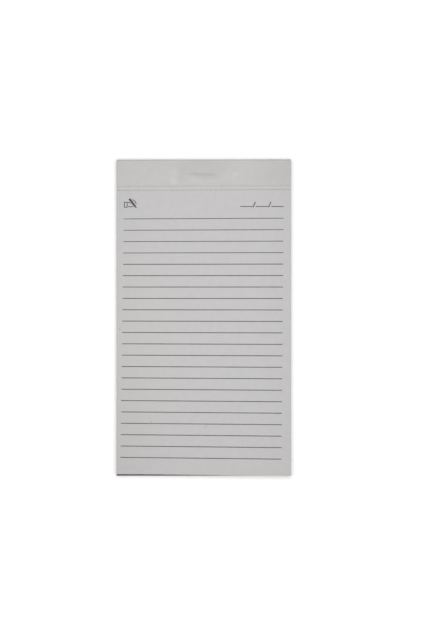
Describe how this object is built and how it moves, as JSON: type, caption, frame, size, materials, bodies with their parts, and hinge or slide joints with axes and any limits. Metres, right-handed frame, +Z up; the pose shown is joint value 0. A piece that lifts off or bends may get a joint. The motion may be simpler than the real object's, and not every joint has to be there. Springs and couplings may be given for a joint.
{
  "type": "refill writing pad",
  "caption": "Slim ruled tear-off writing pad that refills a notebook cover: perforated leaves on a greyboard back, stapled at the head under a folded paper strip.",
  "frame": {"origin": "centre of the pad's footprint, on the surface that its board lies on", "axes": "+X across the pad to the right, +Y along the pad towards the bound head, +Z up from the board's back to the top leaf"},
  "size_m": [0.0926, 0.1674, 0.0067],
  "materials": {
    "paper": "matte uncoated writing paper",
    "greyboard": "matte recycled greyboard",
    "strip_paper": "matte binding paper",
    "staple_steel": "galvanised flat wire",
    "ink": "matte dark grey printing ink"
  },
  "bodies": {
    "root": {"leaf_block": "paper", "backing_board": "greyboard", "head_strip": "strip_paper", "staple": "staple_steel", "ruled_lines": "ink"}
  },
  "joints": []
}
